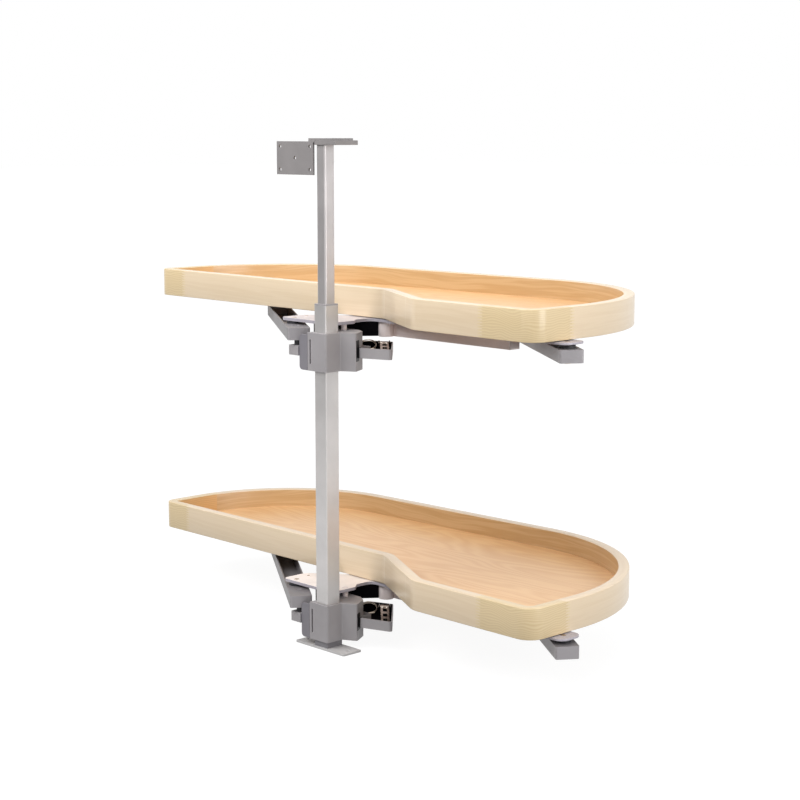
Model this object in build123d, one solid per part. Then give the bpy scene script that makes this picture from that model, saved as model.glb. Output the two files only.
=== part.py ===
from build123d import *
import os
from math import atan2, ceil, cos, degrees, pi, radians, sin, sqrt

# Two-tier corner carousel: two kidney-shaped wooden trays swing and glide out of a
# blind corner cabinet on links that are clamped to one telescopic square post.
# Origin on the post's axis at the underside of the base plate, +X along the trays
# towards their wide lobe, +Y into the cabinet, +Z up. All sizes in millimetres.

# Post
post_width = 25.0
post_wall = 1.5
post_corner = 1.5
post_top = 511.0
inside_corner = 0.8
base_thickness = 3.0
base_length = 108.0
base_depth = 36.0
base_corner = 3.0
base_hole_spacing = 88.0
base_hole_radius = 2.6
foot_side = 29.0
foot_height = 8.5
foot_plug_length = 24.0
inner_width = 18.6
inner_wall = 1.5
inner_corner = 2.6
inner_bottom = 300.0
inner_top = 740.5
guide_clearance = 0.08
guide_length = 30.0
guide_collar = 2.0

# Top bracket and cap
cap_length = 45.0
cap_depth = 43.5
cap_thickness = 6.5
cap_left = -9.4
cap_front = -12.6
bracket_thickness = 3.0
bracket_right = 29.0
bracket_depth = 40.0
bracket_left = -93.3
bracket_plate_right = -12.5
bracket_plate_drop = 4.5
bracket_plate_height = 48.0
bracket_neck = 10.0
bracket_hole_radius = 2.5
bracket_hole_inset = 7.5

# Tray
tray_height = 44.0
rim_thickness = 16.0
tray_left = -543.0
tray_right = 383.0
front_left_y = 99.0
front_right_y = 24.0
notch_start_x = 16.0
notch_end_x = 154.0
back_left_y = 395.2
back_right_y = 437.7
left_lobe_radius = 235.0
right_lobe_radius = 299.0
notch_bend_radius = 30.0
notch_return_radius = 45.0
left_corner_radius = 20.0
right_corner_radius = 26.0
floor_recess = 2.0
floor_thickness = 12.0
finger_count = 21
finger_length = 14.0
left_joint_x = -475.0
right_joint_x = 288.0
right_joint_y = 111.0
left_joint_y = 200.0
cutting_margin = 60.0

# Tier positions: underside of each tray's rim
lower_tray_z = 82.0
tier_spacing = 403.0

# Swivel carrier, heights measured from the tray's underside
pivot_x = -11.0
pivot_y = 44.0
pivot_radius = 4.3
pivot_top_gap = 0.4
running_clearance = 0.05
plate_gap = 1.2
plate_thickness = 3.0
plate_lip = 1.6
plate_lip_wall = 2.0
plate_left = -121.0
plate_left_back = 60.0
plate_front = 15.0
plate_back = 147.0
plate_right = 40.0
recess_left = -3.0
recess_step = 58.0
recess_waist = -14.0
recess_waist_front = 70.0
recess_back = 101.0
recess_round = 12.0
lobe_left = 18.0
lobe_front = 90.0
lobe_round = 6.0
hub_radius = 46.0
hub_wall = 2.5
hub_bottom_gap = 28.0
hub_start_angle = 105.0
hub_end_angle = 215.0
rail_left = 1.0
rail_right = 247.0
rail_front = 125.0
rail_width = 20.0
rail_bottom_gap = 28.5
rail_wall = 2.0
rail_curl_y = 117.5
rail_curl_radius = 11.5
end_plate_overlap = 25.0
end_plate_front = 66.0
end_plate_back = 110.0
end_plate_right = 402.0
end_plate_round = 14.0

# Arms
arm_angle = 145.1
arm_reach = 300.0
arm_width = 33.0
arm_height = 18.0
arm_wall = 2.0
arm_top_gap = 9.8
arm_corner = 3.0
arm_closed_end = 19.5
arm_dimple_offset = 32.0
arm_dimple_radius = 5.2
arm_dimple_depth = 0.8
left_arm_x = -101.0
left_arm_y = 25.0
left_arm_overhang = 70.0
right_arm_x = 384.9
right_arm_y = 88.1
right_arm_overhang = 27.0
bearing_radius = 11.5
bearing_top_gap = 6.2
arm_pin_radius = 4.0
open_pin_clearance = 0.4
pin_head_radius = 7.0
pin_head_height = 2.6
pin_head_gap = 0.35
pad_length = 74.0
pad_width = 46.0
pad_drop = 1.6
pad_corner = 8.0

# Clamp on the post
clamp_left = -23.0
clamp_right = 17.0
clamp_front = -17.0
clamp_back = 58.0
clamp_wing_start = 12.0
clamp_wing_x = 38.0
clamp_wing_y = 24.0
clamp_wing_rear_x = 24.0
clamp_wing_rear_y = 49.0
clamp_rear_x = 8.0
clamp_top_gap = 14.2
clamp_height = 56.0
clamp_round = 3.5
clamp_rear_round = 5.0
clamp_clearance = 0.08
clamp_slot_x = -18.0
clamp_slot_width = 2.6
clamp_slot_depth = 6.0
clamp_slot_height = 36.0
pivot_depth = 42.0
cheek_left = -41.0
cheek_thickness = 2.5
cheek_round = 6.0
cheek_top_gap = 17.8
lug_left = -64.0
lug_front = -19.0
lug_depth = 20.0
lug_height = 14.5
lug_top_gap = 35.5
rest_x = -53.0
rest_y = -9.0
rest_radius = 5.5
rest_gap = 0.4

# Soft-close unit behind the clamp
housing_leaf_x = 30.0
housing_leaf_y = 28.0
housing_nose_x = 88.0
housing_nose_y = 48.0
housing_tail_x = 14.0
housing_tail_y = 120.0
housing_left = -26.0
housing_left_back = 104.0
housing_floor_gap = 51.0
housing_height = 15.0
housing_wall = 1.6
housing_round = 4.0
spring_x = -7.0
spring_y = 88.0
spring_radius = 12.0
spring_wire = 1.3
spring_pitch = 2.6
spring_turns = 2
spring_lean = 28.0
spring_leg = 9.0
spring_seat = 0.1
view_turn = -42.0
catch_x = 16.0
catch_y = 100.0
catch_axis_gap = 35.8
catch_length = 67.0
catch_width = 12.8
catch_thickness = 1.6
catch_lean = 7.0
catch_corner = 2.0
catch_window_length = 13.0
catch_window_width = 6.4
catch_window_pitch = 20.0
catch_first_window = 15.0
catch_pin_radius = 1.6
catch_pin_length = 18.0
catch_ear_gap = 0.5
catch_ear_wall = 1.6
catch_ear_length = 9.0
catch_ear_top_gap = 32.6


def block(x0, x1, y0, y1, z0, z1):
    """Rectangular solid between the given planes."""
    return Pos((x0 + x1) / 2, (y0 + y1) / 2, (z0 + z1) / 2) * Box(x1 - x0, y1 - y0, z1 - z0)


def disc(x, y, z0, z1, radius):
    """Vertical cylinder between two heights."""
    return Pos(x, y, (z0 + z1) / 2) * Cylinder(radius, z1 - z0)


def prism(plan, z0, z1):
    """Plan face raised between two heights."""
    return Pos(0, 0, z0) * extrude(plan, z1 - z0)


def outline(points, radii):
    """Closed plan outline whose corners are rounded one by one."""
    return make_face(FilletPolyline(*points, radius=radii, close=True))


def tray_outline():
    """Kidney shape with a straight front, a notch for the post and two round lobes."""
    corners = [
        (tray_left, front_left_y),
        (notch_start_x, front_left_y),
        (notch_end_x, front_right_y),
        (tray_right, front_right_y),
        (tray_right, back_right_y),
        (tray_left, back_left_y),
    ]
    radii = [
        left_corner_radius,
        notch_bend_radius,
        notch_return_radius,
        right_corner_radius,
        right_lobe_radius,
        left_lobe_radius,
    ]
    return outline(corners, radii)


def fingers(x0, x1, y0, y1, odd):
    """Every second slab of a finger joint over the rim's height."""
    pitch = tray_height / finger_count
    start = 1 if odd else 0
    slabs = [
        block(x0, x1, y0, y1, index * pitch, (index + 1) * pitch)
        for index in range(start, finger_count, 2)
    ]
    return Part() + slabs


def joint_along_x(x, y0, y1):
    """Finger joint across a rim that runs along X: slabs of the left and right piece."""
    half = finger_length / 2
    return fingers(x, x + half, y0, y1, False), fingers(x - half, x, y0, y1, True)


def joint_along_y(y, x0, x1):
    """Finger joint across a rim that runs along Y: slabs of the front and back piece."""
    half = finger_length / 2
    return fingers(x0, x1, y, y + half, False), fingers(x0, x1, y - half, y, True)


def tray_pieces():
    """The rim's four boards and blocks, joined by fingers, and the floor panel."""
    outer = tray_outline()
    inner = offset(outer, amount=-rim_thickness, kind=Kind.INTERSECTION)
    ring = extrude(outer, tray_height) - extrude(inner, tray_height)
    left = tray_left - cutting_margin
    right = tray_right + cutting_margin
    front = front_right_y - cutting_margin
    rim_back = front_left_y + rim_thickness + cutting_margin
    left_block = block(left, left_joint_x, front, left_joint_y, 0, tray_height)
    right_block = block(right_joint_x, right, front, right_joint_y, 0, tray_height)
    front_zone = block(left_joint_x, right_joint_x, front, rim_back, 0, tray_height)
    left_out, left_in = joint_along_x(left_joint_x, front, rim_back)
    right_in, right_out = joint_along_x(right_joint_x, front, rim_back)
    side_out, side_in = joint_along_y(right_joint_y, tray_right - cutting_margin, right)
    rear_out, rear_in = joint_along_y(left_joint_y, left, tray_left + cutting_margin)
    corner_left = ring & ((left_block - left_in - rear_in) + left_out + rear_out)
    board_front = ring & ((front_zone - left_out - right_out) + left_in + right_in)
    corner_right = ring & ((right_block - right_in - side_in) + right_out + side_out)
    board_back = ring - corner_left - board_front - corner_right
    return {
        "left_corner_block": corner_left,
        "front_board": board_front,
        "right_corner_block": corner_right,
        "back_board": board_back,
        "floor_panel": prism(inner, floor_recess, floor_recess + floor_thickness),
    }


def arm_body(x, y, front_overhang):
    """Channel with a closed boxy front end, a round rear end and seats for its bushes."""
    half = arm_width / 2
    plan = Pos((arm_reach - front_overhang) / 2, 0) * Rectangle(arm_reach + front_overhang, arm_width)
    plan = fillet(plan.vertices().group_by(Axis.X)[0], arm_corner)
    plan += Pos(arm_reach, 0) * Circle(half)
    shell = extrude(plan, arm_height)
    shell -= block(
        arm_closed_end,
        arm_reach - arm_closed_end,
        arm_wall - half,
        half - arm_wall,
        arm_wall,
        arm_height,
    )
    bore = arm_pin_radius + 2 * running_clearance
    for seat_x, radius in ((0, bore), (arm_reach, bore + open_pin_clearance)):
        shell -= disc(seat_x, 0, 0, arm_height, radius)
        shell -= disc(seat_x, 0, arm_wall, arm_height, bearing_radius)
    if front_overhang > arm_dimple_offset + arm_dimple_radius:
        dimple_floor = arm_height - arm_dimple_depth
        shell -= disc(-arm_dimple_offset, 0, dimple_floor, arm_height, arm_dimple_radius)
    return Pos(x, y, -arm_top_gap - arm_height) * Rot(0, 0, arm_angle) * shell


def far_point(x, y):
    """Where an arm carries the tray."""
    turn = radians(arm_angle)
    return x + arm_reach * cos(turn), y + arm_reach * sin(turn)


def bearing(x, y, clearance):
    """Plastic bush in an arm's seat, round a pivot pin."""
    floor = -arm_top_gap - arm_height + arm_wall
    bush = disc(x, y, floor, -bearing_top_gap, bearing_radius)
    return bush - disc(x, y, floor, -bearing_top_gap, arm_pin_radius + clearance)


def pivot_pin(x, y, top):
    """Headed pin that hangs from above through a bush and the arm's floor."""
    head_top = -arm_top_gap - arm_height - pin_head_gap
    shaft = disc(x, y, head_top, top, arm_pin_radius)
    return shaft + disc(x, y, head_top - pin_head_height, head_top, pin_head_radius)


def swivel_plate():
    """Pressed sheet behind the post, cut out so that it passes the post when it swings."""
    corners = [
        (plate_left, plate_front),
        (recess_left, plate_front),
        (recess_left, recess_step),
        (recess_waist, recess_waist_front),
        (recess_waist, recess_back),
        (lobe_left, recess_back),
        (plate_right, lobe_front),
        (plate_right, plate_back),
        (rail_left - rail_curl_radius, plate_back),
        (plate_left, plate_left_back),
    ]
    radii = [8.0, 7.0, lobe_round, lobe_round, recess_round, recess_round, lobe_round, 10.0, 25.0, 25.0]
    plan = outline(corners, radii)
    rim = plate_thickness + plate_lip
    sheet = prism(plan, -plate_gap - rim, -plate_gap)
    sheet -= prism(offset(plan, amount=-plate_lip_wall), -plate_gap - rim, -plate_gap - plate_thickness)
    sheet -= rail_envelope(plate_lip_wall)
    sheet -= disc(pivot_x, pivot_y, -plate_gap - rim, 0, pivot_radius + running_clearance)
    return sheet - disc(left_arm_x, left_arm_y, -plate_gap - rim, 0, arm_pin_radius)


def hub_shell():
    """Dark shroud that hangs from the plate round the main pivot and runs on to the rail's curl."""
    bottom, top = -hub_bottom_gap, -plate_gap - plate_thickness
    start, end = hub_start_angle, hub_end_angle
    outer = CenterArc((0, 0), hub_radius, start, end - start)
    inner = CenterArc((0, 0), hub_radius - hub_wall, start, end - start)
    plan = make_face([outer, inner, Line(outer @ 0, inner @ 0), Line(outer @ 1, inner @ 1)])
    corner = Vector(pivot_x, pivot_y) + (outer @ 0 + inner @ 0) * 0.5
    run = Vector(rail_left, rail_curl_y) - corner
    web = Pos(corner + run * 0.5) * Rot(0, 0, degrees(atan2(run.Y, run.X))) * Rectangle(run.length, hub_wall)
    web += Pos(corner) * Circle(hub_wall / 2)
    shell = prism(Pos(pivot_x, pivot_y) * plan + web, bottom, top)
    return shell - disc(rail_left, rail_curl_y, bottom, top, rail_curl_radius + running_clearance)


def rail_envelope(grown=0.0):
    """Outer block of the long rail with the curl at its left end, below the plate's sheet."""
    top = -plate_gap - plate_thickness
    back = rail_front + rail_width
    body = block(rail_left - grown, rail_right, rail_front - grown, back + grown, -rail_bottom_gap, top)
    return body + disc(rail_left, rail_curl_y, -rail_bottom_gap, top, rail_curl_radius + grown)


def support_rail():
    """Tall channel, open below, that carries the outer arm's end plate."""
    top = -plate_gap - plate_thickness
    inside = block(
        rail_left + rail_curl_radius,
        rail_right - rail_wall,
        rail_front + rail_wall,
        rail_front + rail_width - rail_wall,
        -rail_bottom_gap,
        top - rail_wall,
    )
    bore = rail_curl_radius - rail_wall
    curl_bore = disc(rail_left, rail_curl_y, -rail_bottom_gap, top - rail_wall, bore)
    return rail_envelope() - inside - curl_bore


def end_plate():
    """Plate from the rail's end to the outer arm's pivot."""
    back = rail_front + rail_width
    corners = [
        (rail_right - end_plate_overlap, rail_front),
        (right_arm_x - end_plate_front, end_plate_front),
        (end_plate_right, end_plate_front),
        (end_plate_right, end_plate_back),
        (right_arm_x - end_plate_overlap, end_plate_back),
        (rail_right + end_plate_overlap, back),
        (rail_right - end_plate_overlap, back),
    ]
    radii = [3.0, 20.0, end_plate_round, end_plate_round, 20.0, 12.0, 3.0]
    plate = prism(outline(corners, radii), -plate_gap - plate_thickness, -plate_gap)
    return plate - disc(right_arm_x, right_arm_y, -plate_gap - plate_thickness, 0, arm_pin_radius)


def tray_pad(x, y):
    """Pad under the tray's floor that holds a pivot pin."""
    pad = prism(RectangleRounded(pad_length, pad_width, pad_corner), -pad_drop, floor_recess)
    pad = Pos(x, y) * Rot(0, 0, arm_angle) * pad
    return pad - disc(x, y, -pad_drop, floor_recess, arm_pin_radius)


def clamp_plan():
    """Sleeve round the post with a wing at its right and a body behind it."""
    corners = [
        (clamp_left, clamp_front),
        (clamp_right, clamp_front),
        (clamp_right, clamp_wing_start),
        (clamp_wing_x, clamp_wing_y),
        (clamp_wing_rear_x, clamp_wing_rear_y),
        (clamp_rear_x, clamp_back),
        (clamp_left, clamp_back),
    ]
    small = clamp_rear_round / 2
    return outline(corners, [1.0, clamp_round, small, small, small, clamp_rear_round, small])


def clamp_body():
    """Block round the post, slotted in front, with the socket of the main pivot."""
    bottom = -clamp_top_gap - clamp_height
    top = -clamp_top_gap
    body = prism(clamp_plan(), bottom, top)
    side = post_width + 2 * clamp_clearance
    body -= prism(RectangleRounded(side, side, post_corner + clamp_clearance), bottom, top)
    middle = (bottom + top) / 2
    body -= block(
        clamp_slot_x,
        clamp_slot_x + clamp_slot_width,
        clamp_front,
        clamp_front + clamp_slot_depth,
        middle - clamp_slot_height / 2,
        middle + clamp_slot_height / 2,
    )
    return body - disc(pivot_x, pivot_y, top - pivot_depth, top, pivot_radius)


def clamp_bracket():
    """Side cheek of the clamp with the lug under the inner arm's front end."""
    bottom = -clamp_top_gap - clamp_height
    height = -cheek_top_gap - bottom
    width = clamp_left - cheek_left
    face = Pos((clamp_left + cheek_left) / 2, (bottom - cheek_top_gap) / 2) * Rectangle(width, height)
    face = fillet(face.vertices().group_by(Axis.X)[0], cheek_round)
    cheek = Plane.XZ.offset(-clamp_front - cheek_thickness) * extrude(face, cheek_thickness)
    lug_plan = Pos((lug_left + clamp_left) / 2, lug_front + lug_depth / 2)
    lug_plan = lug_plan * Rectangle(clamp_left - lug_left, lug_depth)
    lug_plan = fillet(lug_plan.vertices().group_by(Axis.X)[0], arm_corner)
    lug = prism(lug_plan, -lug_top_gap - lug_height, -lug_top_gap)
    return cheek + lug - block(cheek_left, clamp_left, lug_front, clamp_front, bottom, -cheek_top_gap)


def turned(x, y):
    """Place on the soft-close unit that looks from its rear pin to its nose."""
    return Pos(x, y) * Rot(0, 0, view_turn)


def catch_ears():
    """Two upright ears that hold the catch's pin."""
    height = housing_floor_gap - housing_wall - catch_ear_top_gap
    middle = -housing_floor_gap + housing_wall + height / 2
    reach = (catch_width + catch_ear_wall) / 2 + catch_ear_gap
    ears = Part() + [
        Pos(0, side * reach, middle) * Box(catch_ear_length, catch_ear_wall, height) for side in (-1, 1)
    ]
    hole = Pos(0, 0, -catch_axis_gap) * Rot(90, 0, 0)
    hole = hole * Cylinder(catch_pin_radius + running_clearance, 2 * catch_width)
    return turned(catch_x, catch_y) * (ears - hole)


def soft_close_housing():
    """Deep open tray from the clamp to the back that holds the spring and the catch."""
    corners = [
        (housing_leaf_x, housing_leaf_y),
        (housing_nose_x, housing_nose_y),
        (housing_tail_x, housing_tail_y),
        (housing_left, housing_left_back),
        (housing_left, clamp_back - housing_wall),
        (housing_leaf_x, clamp_back - housing_wall),
    ]
    plan = make_face(Polyline(*corners, close=True))
    plan -= clamp_plan()
    plan = plan.faces().sort_by(SortBy.AREA)[-1]
    rounded = plan.vertices().sort_by_distance((housing_nose_x, housing_nose_y))[0]
    plan = fillet(rounded, housing_round)
    tail = plan.vertices().sort_by_distance((housing_tail_x, housing_tail_y))[0]
    plan = fillet(tail, housing_round)
    bottom = -housing_floor_gap
    shell = prism(plan, bottom, bottom + housing_height)
    hollow = offset(plan, amount=-housing_wall, kind=Kind.INTERSECTION)
    shell -= prism(hollow, bottom + housing_wall, bottom + housing_height)
    return shell + catch_ears()


def coil_point(quarters):
    """Point and direction on the coil after a number of quarter turns."""
    angle = quarters * pi / 2
    point = Vector(spring_radius * cos(angle), spring_radius * sin(angle), spring_pitch * quarters / 4)
    direction = Vector(-spring_radius * sin(angle), spring_radius * cos(angle), spring_pitch / (2 * pi))
    return point, direction.normalized()


def biarc(start, leaving, end, arriving):
    """Two arcs that meet smoothly between two points with given directions."""
    gap = end - start
    spread = 2 * (1 - leaving.dot(arriving))
    along = gap.dot(leaving + arriving)
    reach = (sqrt(along**2 + spread * gap.dot(gap)) - along) / spread
    first_corner = start + leaving * reach
    last_corner = end - arriving * reach
    meeting = (first_corner + last_corner) * 0.5
    return [
        TangentArc(start, meeting, tangent=leaving),
        TangentArc(meeting, end, tangent=last_corner - first_corner),
    ]


def spring_path():
    """Centre line of the flat torsion spring: its turns and two straight legs."""
    stations = [coil_point(quarters) for quarters in range(4 * spring_turns + 1)]
    edges = [edge for first, last in zip(stations, stations[1:]) for edge in biarc(*first, *last)]
    start, leaving = stations[0]
    end, arriving = stations[-1]
    first_leg = Line(start - leaving * spring_leg, start)
    last_leg = Line(end, end + arriving * spring_leg)
    return Wire([first_leg, *edges, last_leg])


def soft_close_spring():
    """Torsion spring that leans on the housing's floor."""
    path = spring_path()
    section = Plane(origin=path @ 0, z_dir=path % 0) * Circle(spring_wire / 2)
    wire = sweep(section, path=path)
    wire = turned(spring_x, spring_y) * Rot(0, spring_lean, 0) * wire
    lift = -housing_floor_gap + housing_wall + spring_seat - wire.bounding_box().min.Z
    return Pos(0, 0, lift) * wire


def report_spring_gap():
    """Print the spring's least gap to itself, measured on points of its centre line."""
    path = spring_path()
    count = 240
    points = [path @ (index / count) for index in range(count + 1)]
    half_turn = ceil(pi * spring_radius / path.length * count)
    least = min(
        (first - second).length
        for place, first in enumerate(points)
        for second in points[place + half_turn :]
    )
    print("least gap of the spring to itself", round(least - spring_wire, 3))


def catch():
    """Windowed lever on a cross pin that slopes down to the unit's nose."""
    blade = Pos(catch_length / 2, 0) * RectangleRounded(catch_length + catch_width, catch_width, catch_corner)
    for number in range(3):
        window = Rectangle(catch_window_length, catch_window_width)
        blade -= Pos(catch_first_window + number * catch_window_pitch, 0) * window
    lever = Pos(0, 0, -catch_thickness / 2) * extrude(blade, catch_thickness)
    lever += Rot(90, 0, 0) * Cylinder(catch_pin_radius, catch_pin_length)
    return turned(catch_x, catch_y) * Pos(0, 0, -catch_axis_gap) * Rot(0, catch_lean, 0) * lever


def tier_parts(tray_z):
    """Every piece of one tier, moved to its height."""
    left_far = far_point(left_arm_x, left_arm_y)
    right_far = far_point(right_arm_x, right_arm_y)
    clamp_top = -clamp_top_gap
    pieces = tray_pieces()
    pieces["tray_pads"] = Part() + [tray_pad(*left_far), tray_pad(*right_far)]
    pieces["tray_pins"] = Part() + [
        pivot_pin(*left_far, floor_recess),
        pivot_pin(*right_far, floor_recess),
    ]
    pieces["inner_arm"] = arm_body(left_arm_x, left_arm_y, left_arm_overhang)
    pieces["outer_arm"] = arm_body(right_arm_x, right_arm_y, right_arm_overhang)
    pieces["inner_arm_bushes"] = Part() + [
        bearing(left_arm_x, left_arm_y, running_clearance),
        bearing(*left_far, running_clearance),
    ]
    pieces["outer_arm_bushes"] = Part() + [
        bearing(right_arm_x, right_arm_y, running_clearance),
        bearing(*right_far, open_pin_clearance),
    ]
    pieces["swivel_plate"] = swivel_plate()
    pieces["hub_shell"] = hub_shell()
    pieces["support_rail"] = support_rail()
    pieces["end_plate"] = end_plate()
    pieces["arm_pins"] = Part() + [
        pivot_pin(left_arm_x, left_arm_y, -plate_gap),
        pivot_pin(right_arm_x, right_arm_y, -plate_gap),
    ]
    pieces["clamp"] = clamp_body()
    pieces["clamp_bracket"] = clamp_bracket()
    pivot_top = -plate_gap - pivot_top_gap
    pieces["main_pivot"] = disc(pivot_x, pivot_y, clamp_top - pivot_depth, pivot_top, pivot_radius)
    rest_top = -arm_top_gap - arm_height - rest_gap
    pieces["arm_rest"] = disc(rest_x, rest_y, -lug_top_gap, rest_top, rest_radius)
    pieces["soft_close_housing"] = soft_close_housing()
    pieces["soft_close_spring"] = soft_close_spring()
    pieces["catch"] = catch()
    return {name: Pos(0, 0, tray_z) * solid for name, solid in pieces.items()}


def square_tube(side, corner, wall, z0, z1):
    """Square tube with rounded corners."""
    tube = RectangleRounded(side, side, corner)
    tube -= RectangleRounded(side - 2 * wall, side - 2 * wall, max(corner - wall, inside_corner))
    return prism(tube, z0, z1)


def base_plate():
    """Floor plate with two screw holes."""
    plate = extrude(RectangleRounded(base_length, base_depth, base_corner), base_thickness)
    for side in (-1, 1):
        plate -= disc(side * base_hole_spacing / 2, 0, 0, base_thickness, base_hole_radius)
    return plate


def foot():
    """Spacer under the post with a plug up its inside."""
    top = base_thickness + foot_height
    plug_side = post_width - 2 * post_wall
    plug = prism(RectangleRounded(plug_side, plug_side, inside_corner), top, top + foot_plug_length)
    return prism(Rectangle(foot_side, foot_side), base_thickness, top) + plug


def guide_bush():
    """Collar in the outer tube's mouth in which the inner tube slides."""
    side = post_width - 2 * post_wall
    low, high = post_top - guide_length, post_top + guide_collar
    bush = prism(RectangleRounded(side, side, inside_corner), low, post_top)
    bush += prism(RectangleRounded(post_width, post_width, post_corner), post_top, high)
    bore_side = inner_width + 2 * guide_clearance
    return bush - prism(RectangleRounded(bore_side, bore_side, inner_corner + guide_clearance), low, high)


def top_cap():
    """Thick cap on the inner tube."""
    return block(
        cap_left,
        cap_left + cap_length,
        cap_front,
        cap_front + cap_depth,
        inner_top,
        inner_top + cap_thickness,
    )


def top_bracket():
    """Flange on the cap with a plate beside the post that hangs from a short neck."""
    low = inner_top + cap_thickness
    top = low + bracket_thickness
    plate_top = top - bracket_plate_drop
    plate_bottom = plate_top - bracket_plate_height
    plate_back = cap_front + bracket_thickness
    flange_back = cap_front + bracket_depth
    bracket = block(bracket_plate_right, bracket_right, cap_front, flange_back, low, top)
    neck_left = bracket_plate_right - bracket_neck
    neck_right = bracket_plate_right + bracket_thickness
    bracket += block(neck_left, neck_right, cap_front, plate_back, low - bracket_thickness, top)
    bracket += block(bracket_left, bracket_plate_right, cap_front, plate_back, plate_bottom, plate_top)
    middle_x = (bracket_left + bracket_plate_right) / 2
    middle_z = (plate_bottom + plate_top) / 2
    half_x = (bracket_plate_right - bracket_left) / 2 - bracket_hole_inset
    half_z = bracket_plate_height / 2 - bracket_hole_inset
    hole = Rot(90, 0, 0) * Cylinder(bracket_hole_radius, 4 * bracket_thickness)
    bracket -= Pos(middle_x, cap_front, middle_z) * hole
    for side_x in (-1, 1):
        for side_z in (-1, 1):
            bracket -= Pos(middle_x + side_x * half_x, cap_front, middle_z + side_z * half_z) * hole
    return bracket


def build():
    """All nodes by name."""
    parts = {
        "base_plate": base_plate(),
        "post_foot": foot(),
        "outer_tube": square_tube(
            post_width, post_corner, post_wall, base_thickness + foot_height, post_top
        ),
        "guide_bush": guide_bush(),
        "inner_tube": square_tube(inner_width, inner_corner, inner_wall, inner_bottom, inner_top),
        "top_cap": top_cap(),
        "top_bracket": top_bracket(),
    }
    for tier, tray_z in (("lower", lower_tray_z), ("upper", lower_tray_z + tier_spacing)):
        for name, solid in tier_parts(tray_z).items():
            parts[tier + "_" + name] = solid
    return parts


os.makedirs("parts", exist_ok=True)
report_spring_gap()
for name, solid in build().items():
    export_step(solid, "parts/" + name + ".step")
    print(name, round(solid.volume), len(solid.solids()))
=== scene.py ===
"""Looks of a two-tier corner carousel: maple trays on linked arms round a telescopic post.

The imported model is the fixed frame. Boards, springs and small fasteners are built here, and
every carried-over piece gets its own finish.
"""

from __future__ import annotations

import logging
import math
from collections.abc import Callable
from dataclasses import dataclass
from enum import Enum

import bmesh
import bpy
from mathutils import Matrix, Vector


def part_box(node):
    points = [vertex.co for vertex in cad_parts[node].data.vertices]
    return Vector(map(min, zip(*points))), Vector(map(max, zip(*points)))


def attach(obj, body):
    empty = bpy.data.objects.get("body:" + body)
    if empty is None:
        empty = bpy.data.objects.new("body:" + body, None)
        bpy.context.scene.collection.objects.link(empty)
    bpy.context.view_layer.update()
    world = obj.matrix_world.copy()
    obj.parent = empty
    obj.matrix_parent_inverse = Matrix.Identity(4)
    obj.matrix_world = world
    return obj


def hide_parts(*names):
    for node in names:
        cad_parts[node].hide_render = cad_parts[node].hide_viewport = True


Socket = bpy.types.NodeSocket
Material = bpy.types.Material
Piece = bpy.types.Object
Sockets = bpy.types.bpy_prop_collection
Pair = tuple[float, float]
Triple = tuple[float, float, float]
Colour = tuple[float, float, float, float]
Marks = tuple[Pair, ...]
Path = list[tuple[Vector, Vector]]
Finishes = dict[str, Material]

LOG = logging.getLogger("carousel")
MM = 0.001
WHITE = (1.0, 1.0, 1.0, 1.0)
UPWARDS = (0.0, 0.0, 1.0)
# painted shadow colour of narrow gaps in the clamp
SLOT_PAINTED_SHADOW = (10.0, 9.0, 12.0)
# painted highlight colour of the lines at the rim's bends
BEND_HIGHLIGHT = (246.0, 234.0, 214.0)
ARMS_LEFT = Vector((-0.57, -0.82, 0.0))
CHEEK_STARTS = -42.0 * MM
TOP_COSINE = 0.95
SIDE_COSINE = 0.9


class Tier(Enum):
    """The two levels of the carousel, by node prefix."""

    LOWER = "lower"
    UPPER = "upper"

    def named(self, part: str) -> str:
        """Name of a node, piece or body on this level."""
        return f"{self.value}_{part}"

    def tray_bottom(self) -> float:
        """Height of the tray's underside in millimetres."""
        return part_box(self.named("front_board"))[0].z / MM


class Grain(Enum):
    """How a timber's figure runs."""

    STRAIGHT_BOARD = "straight lines along the board"
    CURLY_BOARD = "wavy lines across the board"
    PANEL = "wide figure along the tray"


def linear(colour: Triple) -> Colour:
    """Turn a display colour of 0 to 255 into the linear colour that shaders read.

    Args:
        colour: Display red, green and blue.

    Returns:
        Linear red, green, blue and an alpha of 1.
    """
    channels = []
    for value in colour:
        part = value / 255.0
        channels.append(part / 12.92 if part <= 0.04045 else ((part + 0.055) / 1.055) ** 2.4)
    return (*channels, 1.0)


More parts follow.
